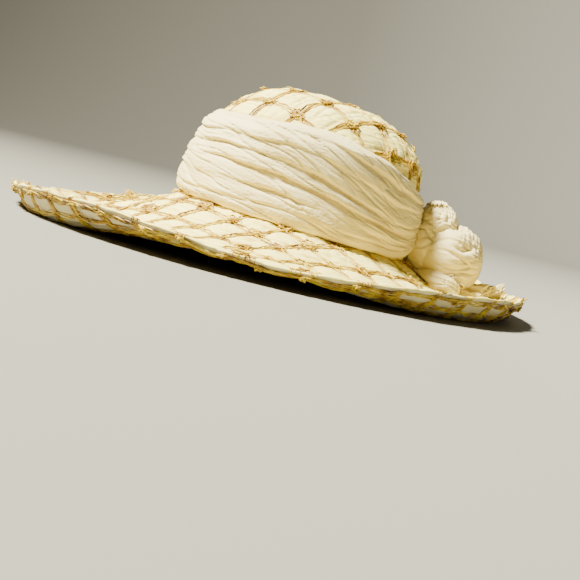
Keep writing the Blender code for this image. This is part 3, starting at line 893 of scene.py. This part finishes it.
def crossing_lift(p, q):
    """How far a strand rises off the cloth near a crossing: a half wave along each family, multiplied."""
    return CROSSING_LIFT * np.abs(np.cos(math.pi * p / TRELLIS_PITCH) * np.cos(math.pi * q / TRELLIS_PITCH))


def make_brim_strands(face, material):
    """Strands over one face of the brim. On the top they also turn down round the rim."""
    tubes = []
    name, inner, bundles, wander, radius = BRIM_RAFFIA[face]
    for p, q in bundle_lines(TRELLIS_REACH, bundles, wander):
        x, y = trellis_plan(p, q)
        angle, outwards = brim_place(x, y)
        for cut in runs((outwards > inner) & (outwards < 1.0)):
            z = brim_cloth_height(x[cut], y[cut], face)
            z = z + face * (0.5 * radius + crossing_lift(p[cut], q[cut]))
            path = together(x[cut], y[cut], np.maximum(z, radius + RAFFIA_LOWEST))
            out = np.tile([0.0, 0.0, face], (len(path), 1))
            if face > 0:
                path, out = round_the_rim(path, out, angle[cut], outwards[cut])
            tubes.append(tube(path, out, radius))
    return join_tubes(name, tubes, material)


def round_the_rim(path, out, angle, outwards):
    """Adds a half circle round the rim's edge at each end of a strand that lies at the rim."""
    bend = np.linspace(0.15, math.pi - 0.1, 6)[:, None]
    up = np.array([0.0, 0.0, 1.0])
    for end in (0, -1):
        if outwards[end] < 0.9:
            continue
        a = math.radians(angle[end])
        rim_out = np.array([math.cos(a), math.sin(a), 0.0])
        middle = float(brim_underside(angle[end], 1.0) + rim_wave(angle[end])) + BRIM_WALL / 2
        foot = np.array([*brim_plan(angle[end], 1.0), middle])
        ring = foot + 0.0010 * rim_out * np.sin(bend) + (BRIM_WALL / 2 - 0.0002) * up * np.cos(bend)
        ring[:, 2] = np.maximum(ring[:, 2], STRAND_RADIUS + RAFFIA_LOWEST)
        ring_out = rim_out * np.sin(bend) + up * np.cos(bend)
        if end == 0:
            path, out = np.concatenate([ring[::-1], path]), np.concatenate([ring_out[::-1], out])
        else:
            path, out = np.concatenate([path, ring]), np.concatenate([out, ring_out])
    return path, out


def rim_cord_path(angle, place, number):
    """A strand of a cord sewn under the rim: it winds round the cord's middle and wanders with it."""
    a = angle / 360.0
    seed = int(place * 100)
    middle = place + (0.008 + 0.2 * (1 - place)) * soft_noise(40 * a, number * 0.6, seed, 40)
    wind = 2 * math.pi * (34 * a + number / RIM_CORD_STRANDS)
    outwards = middle + 0.010 * np.cos(wind) + 0.004 * soft_noise(64 * a, number * 2.3, seed + 1, 64)
    x, y = brim_plan(angle, outwards)
    z = brim_cloth_height(x, y, -1.0) - 0.0004 - 0.0007 * (1 + np.sin(wind))
    return together(x, y, np.maximum(z, STRAND_RADIUS + RAFFIA_LOWEST))


def make_rim_cord(material):
    """The raffia sewn along the rim, and a loose knot where each of its stitches goes through."""
    tubes = []
    dice = np.random.default_rng(12)
    angle = np.arange(500) * 360.0 / 500
    for place in RIM_CORD_PLACES:
        for number in range(RIM_CORD_STRANDS):
            path = rim_cord_path(angle, place, number)
            tubes.append(tube(path, (0.0, 0.0, -1.0), STRAND_RADIUS, KNOT_SIDES, closed=True))
    for angle in np.arange(RIM_KNOTS) * 360.0 / RIM_KNOTS + dice.uniform(-1.5, 1.5, RIM_KNOTS):
        a = math.radians(angle)
        centre = rim_cord_path(np.array([angle]), RIM_CORD_PLACES[0], 0)[0]
        out = np.array([0.55 * math.cos(a), 0.55 * math.sin(a), -0.83])
        size = RIM_KNOT * KNOT_SIZE * dice.uniform(0.8, 1.2)
        tubes.extend(knot_loops(centre + 0.0006 * out, out, dice, size))
    return join_tubes("raffia_along_rim", tubes, material)


def make_crown_strands(material):
    """Strands over the crown's dome and the part of its wall that the scarf leaves bare."""
    tubes = []
    for p, q in bundle_lines(CROWN_TRELLIS_REACH):
        angle, up = crown_from_trellis(p, q)
        path = crown_cloth_point(angle, up, 0.5 * STRAND_RADIUS + crossing_lift(p, q))
        out = crown_cloth_point(angle, up, 0.002) - path
        for cut in runs((up > 0.15) & (path[:, 2] > scarf_value("upper", angle) - 0.006)):
            tubes.append(tube(path[cut], out[cut], STRAND_RADIUS))
    return join_tubes("raffia_over_crown", tubes, material)


def laid(centre, ways, *parts):
    """Points at these distances along each of three ways from a centre."""
    return centre + sum(part[:, None] * way for part, way in zip(parts, ways))


def knot_loops(centre, out, dice, size):
    """A knot of raffia: a three-leaved loop, radius (2 + cos 3w) / 3 twice round, a tighter oval loop
    standing over it, and short ends that bend up away from the cloth as the square of their length."""
    side = unit(np.cross(out, [0.3, 0.9, 0.1]))
    other = np.cross(out, side)
    turned = dice.uniform(0, 6)
    w = np.linspace(0, 2 * math.pi, 17)[:-1]
    radius = size * (2 + np.cos(3 * w)) / 3
    leaves = radius * np.cos(2 * w + turned), radius * np.sin(2 * w + turned), 0.0008 * np.sin(3 * w)
    w = w[::2]
    first = math.cos(turned) * side + math.sin(turned) * other
    oval = 0.75 * size * np.cos(w), 0.35 * size * np.sin(w), 0.0012 + 0.0006 * np.cos(2 * w)
    for ways, loop in (((side, other, out), leaves), ((first, np.cross(out, first), out), oval)):
        yield tube(laid(centre, ways, *loop), out, KNOT_STRAND_RADIUS, KNOT_SIDES, closed=True)
    for _ in range(KNOT_ENDS):
        turned = dice.uniform(0, 2 * math.pi)
        reach = dice.uniform(0.7, 1.3) * size
        t = np.linspace(0, 1, 4)
        bend = turned + dice.uniform(-1.2, 1.2) * t
        lift = 0.0008 + dice.uniform(0.0, 0.0012) * t**2
        path = laid(centre, (side, other, out), reach * t * np.cos(bend), reach * t * np.sin(bend), lift)
        yield tube(path, out, KNOT_END_RADIUS, KNOT_SIDES)


def knot_places(reach):
    count = int(reach / TRELLIS_PITCH)
    steps = np.arange(-count, count + 1) * TRELLIS_PITCH
    return (each.ravel() for each in grid(steps, steps))


def make_knots(material):
    """Knots at the trellis's crossings on both faces of the brim and on the crown. On the upper faces each
    has a bigger one over it."""
    tubes = []
    dice = np.random.default_rng(5)
    x, y = trellis_plan(*knot_places(TRELLIS_REACH))
    _, outwards = brim_place(x, y)
    for face, outermost in ((1.0, 0.985), (-1.0, 0.93)):
        z = brim_cloth_height(x, y, face) + face * 0.0010
        centres = together(x, y, np.maximum(z, 2 * STRAND_RADIUS + RAFFIA_LOWEST))
        for k in np.flatnonzero((outwards > 0.03) & (outwards < outermost)):
            size = KNOT_SIZE * dice.uniform(0.85, 1.15)
            out = brim_way_out(x[k], y[k], face)
            tubes.extend(knot_loops(centres[k], out, dice, size))
            if face > 0:
                aside = 0.0015 * dice.standard_normal(3)
                tubes.extend(knot_loops(centres[k] + 0.0008 * out + aside, out, dice, BIG_KNOT * size))
    angle, up = crown_from_trellis(*knot_places(CROWN_TRELLIS_REACH))
    low, high = (crown_cloth_point(angle, up, lift) for lift in (0.0009, 0.0029))
    for k in np.flatnonzero((up > 0.2) & (low[:, 2] > scarf_value("upper", angle) + 0.004)):
        out = unit(high[k] - low[k])
        size = KNOT_SIZE * dice.uniform(0.85, 1.25)
        tubes.extend(knot_loops(low[k], out, dice, size))
        tubes.extend(knot_loops(low[k] + 0.0008 * out, out, dice, BIG_KNOT * size))
    return join_tubes("raffia_knots", tubes, material)


# Materials.


class Nodes:
    """A short way to write a material's nodes."""

    def __init__(self, name):
        self.material = bpy.data.materials.new(name)
        self.material.use_nodes = True
        self.tree = self.material.node_tree

    def add(self, kind, **inputs):
        node = self.tree.nodes.new(kind)
        for name, value in inputs.items():
            node.inputs[name.capitalize()].default_value = value
        return node

    def link(self, source, target):
        self.tree.links.new(source, target)

    def place(self):
        return self.add("ShaderNodeTexCoord").outputs["Object"]

    def value(self, name):
        node = self.add("ShaderNodeAttribute")
        node.attribute_name = name
        return node.outputs["Fac"]

    def noise(self, vector, scale, detail=4.0, roughness=0.55):
        node = self.add("ShaderNodeTexNoise", scale=scale, detail=detail, roughness=roughness)
        self.link(vector, node.inputs["Vector"])
        return node.outputs["Fac"]

    def along_cloth(self, u, v, detail, roughness):
        """Noise with u and v spots to a metre of the cloth's UV."""
        cloth = self.add("ShaderNodeUVMap")
        cloth.uv_map = "cloth"
        stretched = self.add("ShaderNodeMapping", scale=(u, v, 1.0))
        self.link(cloth.outputs["UV"], stretched.inputs["Vector"])
        return self.noise(stretched.outputs["Vector"], 1.0, detail, roughness)

    def math(self, operation, a, b):
        node = self.add("ShaderNodeMath")
        node.operation = operation
        for socket, value in zip(node.inputs, (a, b)):
            if isinstance(value, (int, float)):
                socket.default_value = value
            else:
                self.link(value, socket)
        return node.outputs[0]

    def ramp(self, factor, tones):
        node = self.add("ShaderNodeValToRGB")
        band = node.color_ramp.elements
        while len(band) < len(tones):
            band.new(0.5)
        for element, (place, colour) in zip(band, tones):
            element.position = place
            element.color = (*colour, 1.0)
        self.link(factor, node.inputs["Fac"])
        return node.outputs["Color"]

    def mix(self, factor, share, first, second):
        """The first colour, with the second one in its place by this share of the factor."""
        node = self.add("ShaderNodeMix")
        node.data_type = "RGBA"
        self.link(self.math("MULTIPLY", factor, share), node.inputs[0])
        self.link(first, node.inputs[6])
        node.inputs[7].default_value = (*second, 1.0)
        return node.outputs[2]

    def bump(self, height, distance, strength, normal=None):
        node = self.add("ShaderNodeBump", distance=distance, strength=strength)
        self.link(height, node.inputs["Height"])
        if normal is not None:
            self.link(normal, node.inputs["Normal"])
        return node.outputs["Normal"]

    def finish(self, colour, roughness, normal=None, sheen=0.0, sheen_roughness=0.5):
        shader = self.tree.nodes["Principled BSDF"]
        self.link(colour, shader.inputs["Base Color"])
        if normal is not None:
            self.link(normal, shader.inputs["Normal"])
        shader.inputs["Roughness"].default_value = roughness
        shader.inputs["Sheen Weight"].default_value = sheen
        shader.inputs["Sheen Roughness"].default_value = sheen_roughness
        return self.material


def cream_cloth_material():
    """Cream crinkled cloth: long fine tucks round the hat, with painted highlights on their ridges and
    painted shade in their valleys, a soft mottling, painted shade over the brim's underside, and painted
    shadow and golden reflection beside the raffia."""
    n = Nodes("cream_crinkled_cloth")
    tucks = n.along_cloth(16.0, 330.0, 3.0, 0.6)
    threads = n.along_cloth(1500.0, 1500.0, 2.0, 0.5)
    # Painted highlight on the tucks' ridges.
    colour = n.mix(tucks, 0.5, n.ramp(n.noise(n.place(), 45.0), CREAM_TONES), CREAM_PAINTED_RIDGE_HIGHLIGHT)
    # Painted shade in the tucks' valleys.
    colour = n.mix(n.ramp(tucks, PAINTED_VALLEY_SHADE_MASK), 0.6, colour, CREAM_PAINTED_VALLEY_SHADE)
    # Painted shade over the brim's underside.
    colour = n.mix(n.value("painted_underside_shade"), 0.75, colour, CREAM_PAINTED_UNDERSIDE_SHADE)
    # Painted shadow and golden reflection beside the raffia.
    colour = n.mix(n.value("painted_raffia_shade"), 0.85, colour, CREAM_PAINTED_RAFFIA_SHADE)
    return n.finish(colour, 0.72, n.bump(threads, 0.0002, 0.6, n.bump(tucks, 0.0016, 0.8)), 0.05)


def raffia_material():
    """Golden raffia: straw fibres along the strand, lighter and darker lengths, and a dull gloss."""
    n = Nodes("golden_raffia")
    fibres = n.along_cloth(150.0, 2500.0, 3.0, 0.6)
    lengths = n.noise(n.place(), 90.0, 3.0, 0.6)
    tone = n.math("ADD", n.math("MULTIPLY", fibres, 0.45), n.math("MULTIPLY", lengths, 0.55))
    return n.finish(n.ramp(tone, RAFFIA_TONES), 0.42, n.bump(fibres, 0.0006, 0.7))


def scarf_material():
    """Ivory crinkled silk: creases along the folds with painted highlights on their ridges, a fine crinkle
    across them and a soft sheen.
    """
    n = Nodes("ivory_crinkled_silk")
    folds = n.along_cloth(28.0, 230.0, 4.0, 0.62)
    crinkle = n.along_cloth(420.0, 620.0, 4.0, 0.65)
    mottle = n.noise(n.place(), 24.0, 3.0, 0.5)
    # Painted highlight on the folds' ridges.
    colour = n.mix(folds, 0.5, n.ramp(mottle, SILK_TONES), SILK_PAINTED_RIDGE_HIGHLIGHT)
    return n.finish(colour, 0.68, n.bump(crinkle, 0.0005, 0.45, n.bump(folds, 0.0014, 0.7)), 0.12, 0.4)


def backdrop_material():
    """Pale paper with painted shade: darker to the left and lighter to the right."""
    n = Nodes("pale_backdrop")
    sideways = n.add("ShaderNodeSeparateXYZ")
    n.link(n.place(), sideways.inputs[0])
    # Painted shade, darker to the left.
    tone = n.math("ADD", n.math("MULTIPLY", sideways.outputs["X"], 0.36), 0.5)
    return n.finish(n.ramp(tone, BACKDROP_PAINTED_SHADE_TONES), 0.9)


# Camera, light and floor.


def make_camera():
    """Looks at the brim's middle from the near side, rolled, and then turned so that the middle falls on its
    pixel."""
    data = bpy.data.cameras.new("camera")
    data.lens = CAMERA_FOCAL_PIXELS * data.sensor_width / PICTURE_SIDE
    camera = bpy.data.objects.new("camera", data)
    bpy.context.scene.collection.objects.link(camera)
    e = math.radians(CAMERA_ELEVATION)
    back = Vector((0.0, -math.cos(e), math.sin(e)))
    look = (-back).to_track_quat("-Z", "Y").to_matrix()
    roll = Matrix.Rotation(math.radians(CAMERA_ROLL), 3, "Z")
    across = (CAMERA_TARGET_PIXEL[0] - PICTURE_SIDE / 2) / CAMERA_FOCAL_PIXELS
    up = (PICTURE_SIDE / 2 - CAMERA_TARGET_PIXEL[1]) / CAMERA_FOCAL_PIXELS
    turn = Vector((across, up, -1.0)).rotation_difference(Vector((0.0, 0.0, -1.0))).to_matrix()
    camera.matrix_world = (look @ roll @ turn).to_4x4()
    camera.location = Vector(CAMERA_TARGET) + back * CAMERA_DISTANCE
    bpy.context.scene.camera = camera


def make_area_light(name, place, aim, size, power, colour):
    data = bpy.data.lights.new(name, "AREA")
    data.shape = "RECTANGLE"
    data.size, data.size_y = size
    data.energy = power
    data.color = colour
    light = bpy.data.objects.new(name, data)
    light.location = place
    light.rotation_euler = (Vector(aim) - Vector(place)).to_track_quat("-Z", "Y").to_euler()
    bpy.context.scene.collection.objects.link(light)


def make_backdrop():
    """A floor that sweeps up behind in a quarter circle, drawn out sideways."""
    bend = np.linspace(0, 1, 60) * math.pi / 2
    behind = BACKDROP_FAR + BACKDROP_BEND
    y = np.concatenate([[BACKDROP_NEAR, 0.0], BACKDROP_FAR + BACKDROP_BEND * np.sin(bend), [behind]])
    z = np.concatenate([[0.0, 0.0], BACKDROP_BEND * (1 - np.cos(bend)), [BACKDROP_TOP]])
    x = np.array([-BACKDROP_HALF_WIDTH, BACKDROP_HALF_WIDTH])
    points = together(x[:, None], y, z)
    mesh = surface_mesh("backdrop", points, np.zeros((*points.shape[:2], 2)), around=False)
    mesh.materials.append(backdrop_material())
    floor = bpy.data.objects.new("backdrop", mesh)
    bpy.context.scene.collection.objects.link(floor)


def make_world():
    world = bpy.data.worlds.new("studio")
    world.use_nodes = True
    background = world.node_tree.nodes["Background"]
    background.inputs["Color"].default_value = WORLD_COLOUR
    background.inputs["Strength"].default_value = WORLD_STRENGTH
    bpy.context.scene.world = world


def main():
    cream, raffia, silk = cream_cloth_material(), raffia_material(), scarf_material()
    brim = make_brim_cloth(cream)
    crown = make_crown_cloth(cream)
    for face in BRIM_RAFFIA:
        make_brim_strands(face, raffia)
    make_rim_cord(raffia)
    make_crown_strands(raffia)
    make_knots(raffia)
    band = make_scarf_band(silk)
    puffs = [make_puff(number, puff, silk) for number, puff in enumerate(PUFFS)]
    frills = [make_frill(*frill, silk) for frill in FRILLS]
    tail = make_tail(silk)
    make_backdrop()
    make_world()
    for light in LIGHTS:
        make_area_light(*light)
    make_camera()


main()
